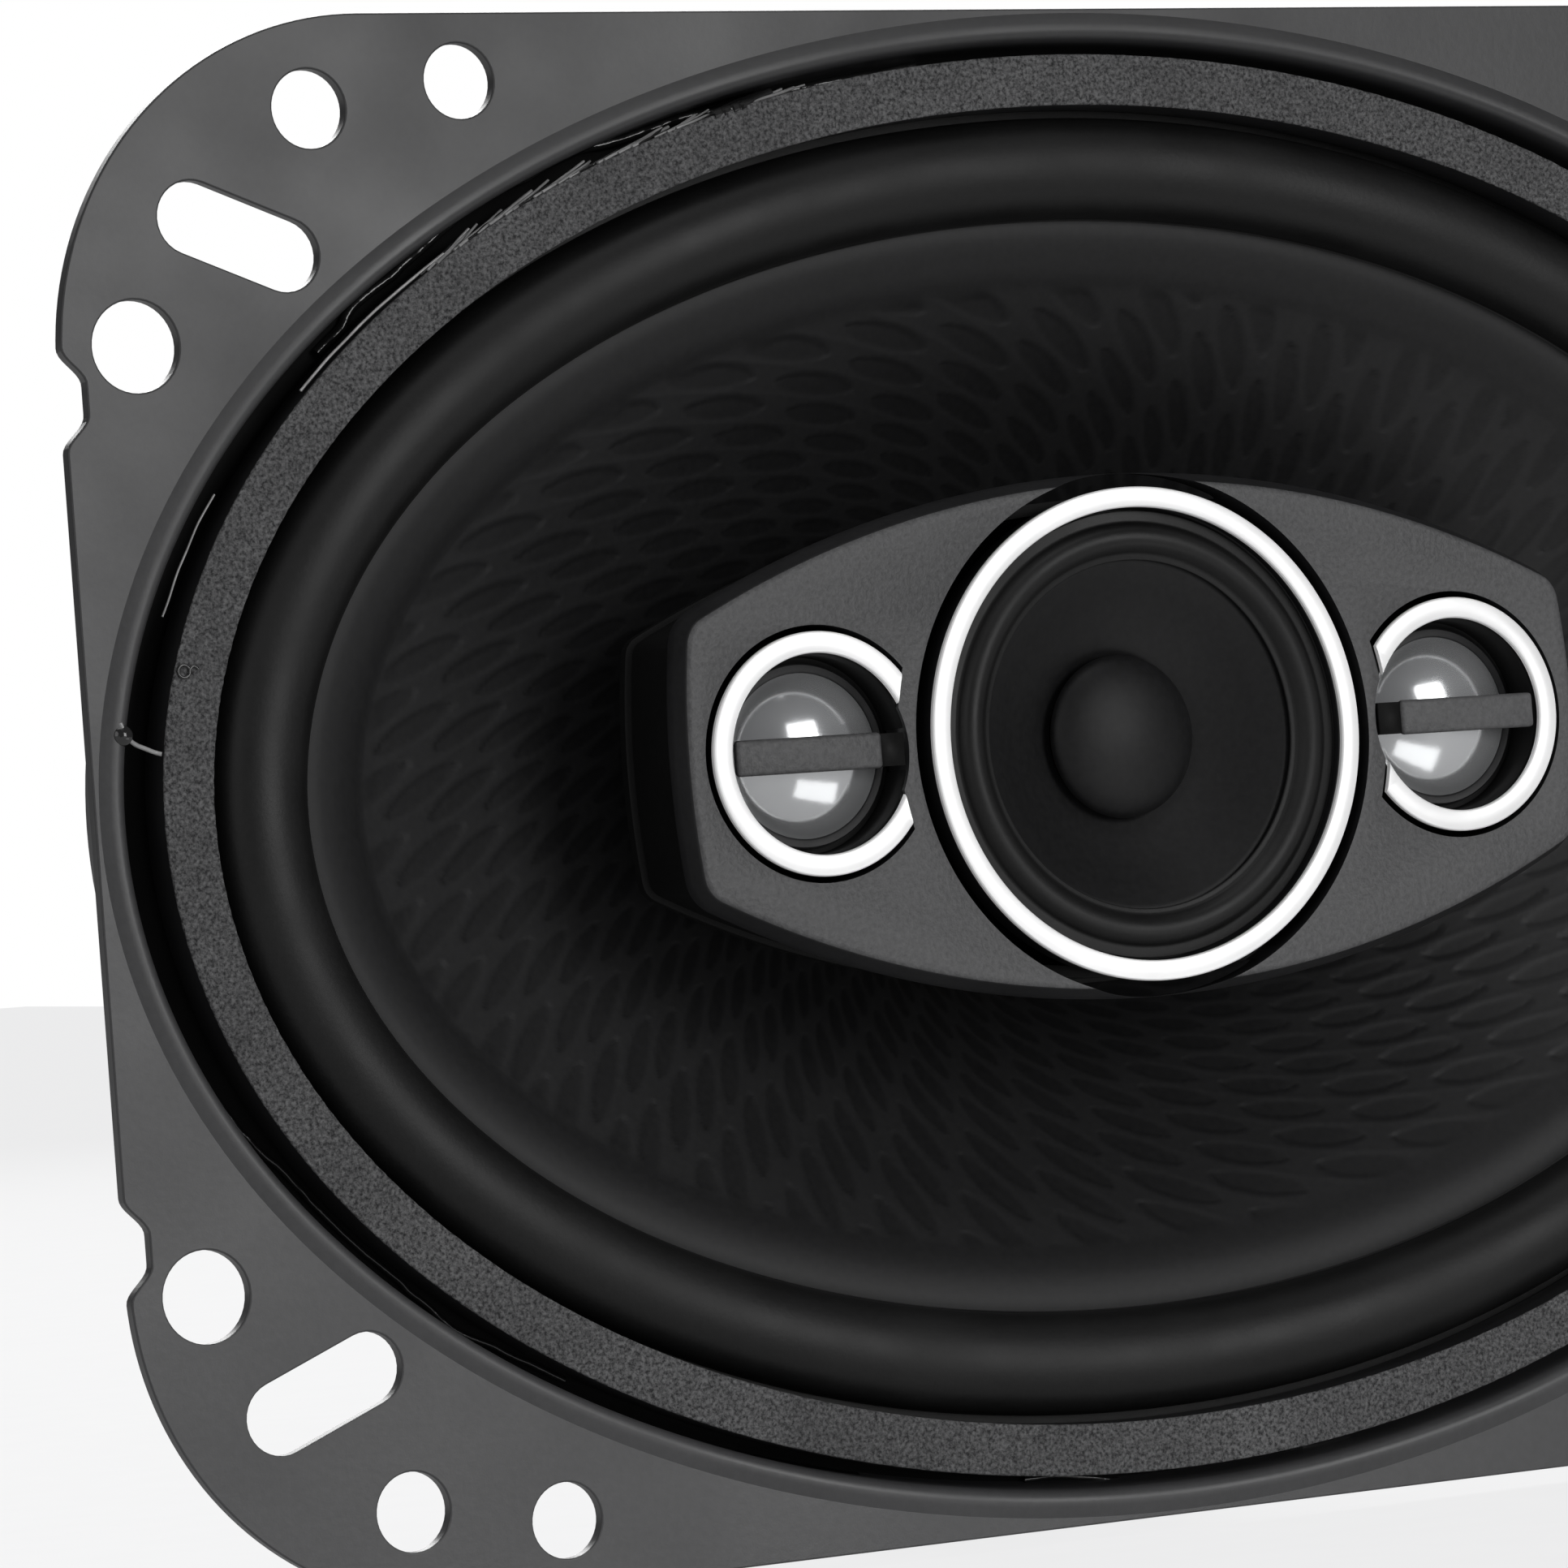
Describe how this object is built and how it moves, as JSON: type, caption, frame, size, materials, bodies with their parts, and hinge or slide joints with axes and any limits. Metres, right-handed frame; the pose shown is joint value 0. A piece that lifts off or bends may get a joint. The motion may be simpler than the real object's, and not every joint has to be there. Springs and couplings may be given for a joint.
{
  "type": "coaxial car speaker",
  "caption": "Flush-mount oval coaxial car speaker: steel plate basket, foam gasket, woofer cone and a raised pod with a midrange and dome tweeters.",
  "frame": {"origin": "centre of the flange's back face, where the flange meets the panel", "axes": "+X along the flange's long side, +Z along its short side, up as mounted in a door; the front faces -Y and the magnet is at +Y"},
  "size_m": [0.152, 0.0559, 0.1034],
  "materials": {
    "painted_steel": "satin black paint",
    "foam": "coarse matte foam",
    "rubber": "satin",
    "cone_plastic": "satin, moulded relief",
    "pod_plastic": "fine grain",
    "black_plastic": "matte",
    "trim_chrome": "polished",
    "plated_steel": "zinc plated",
    "ferrite": "ground ferrite",
    "copper": "enamelled copper",
    "former_paper": "kraft",
    "spider_cloth": "resin treated cotton",
    "terminal_brass": "tin-free",
    "phenolic": "paper phenolic",
    "dome_film": "metallised film",
    "capacitor_sleeve": "shrink sleeve"
  },
  "bodies": {
    "basket": {"basket_frame": "painted_steel", "gasket_ring": "foam", "surround": "rubber", "mid_surround": "rubber", "pod_housing": "pod_plastic", "pod_back_cover": "black_plastic", "pod_post": "black_plastic", "mid_cup": "black_plastic", "tweeter_frame_left": "black_plastic", "tweeter_frame_right": "black_plastic", "tweeter_bar_left": "black_plastic", "tweeter_bar_right": "black_plastic", "mid_trim_ring": "trim_chrome", "tweeter_trim_ring_left": "trim_chrome", "tweeter_trim_ring_right": "trim_chrome", "top_plate": "plated_steel", "yoke_and_pole": "plated_steel", "post_screw": "plated_steel", "mid_top_plate": "plated_steel", "mid_yoke": "plated_steel", "board_rivet_1": "plated_steel", "board_rivet_2": "plated_steel", "basket_rivet_1": "plated_steel", "basket_rivet_2": "plated_steel", "basket_rivet_3": "plated_steel", "basket_rivet_4": "plated_steel", "tweeter_pole_disc_left": "plated_steel", "tweeter_pole_disc_right": "plated_steel", "tweeter_yoke_left": "plated_steel", "tweeter_yoke_right": "plated_steel", "tweeter_magnet_left": "plated_steel", "tweeter_magnet_right": "plated_steel", "magnet_ring": "ferrite", "mid_magnet": "ferrite", "tinsel_lead_positive": "copper", "tinsel_lead_negative": "copper", "spider": "spider_cloth", "terminal_positive": "terminal_brass", "terminal_negative": "terminal_brass", "terminal_board": "phenolic", "capacitor_midrange": "capacitor_sleeve", "capacitor_tweeter": "capacitor_sleeve"},
    "woofer_cone": {"cone": "cone_plastic", "voice_coil_former": "former_paper", "voice_coil_winding": "copper"},
    "mid_diaphragm": {"mid_cone": "cone_plastic", "mid_dust_cap": "cone_plastic", "mid_voice_coil": "copper"},
    "tweeter_diaphragm_left": {"tweeter_dome_left": "dome_film", "tweeter_coil_left": "copper"},
    "tweeter_diaphragm_right": {"tweeter_dome_right": "dome_film", "tweeter_coil_right": "copper"}
  },
  "joints": [
    {"name": "woofer_travel", "type": "slide", "parent": "basket", "child": "woofer_cone", "axis": [0, -1, 0], "range_m": [-0.003, 0.003], "stiffness_N_per_m": 900, "deforming": ["surround", "spider", "tinsel_lead_positive", "tinsel_lead_negative"]},
    {"name": "midrange_travel", "type": "slide", "parent": "basket", "child": "mid_diaphragm", "axis": [0, -1, 0], "range_m": [-0.0005, 0.0005], "stiffness_N_per_m": 600, "deforming": ["mid_surround"]},
    {"name": "tweeter_travel_left", "type": "slide", "parent": "basket", "child": "tweeter_diaphragm_left", "axis": [0, -1, 0], "range_m": [-0.00015, 0.00015], "stiffness_N_per_m": 600},
    {"name": "tweeter_travel_right", "type": "slide", "parent": "basket", "child": "tweeter_diaphragm_right", "axis": [0, -1, 0], "range_m": [-0.00015, 0.00015], "stiffness_N_per_m": 600}
  ]
}
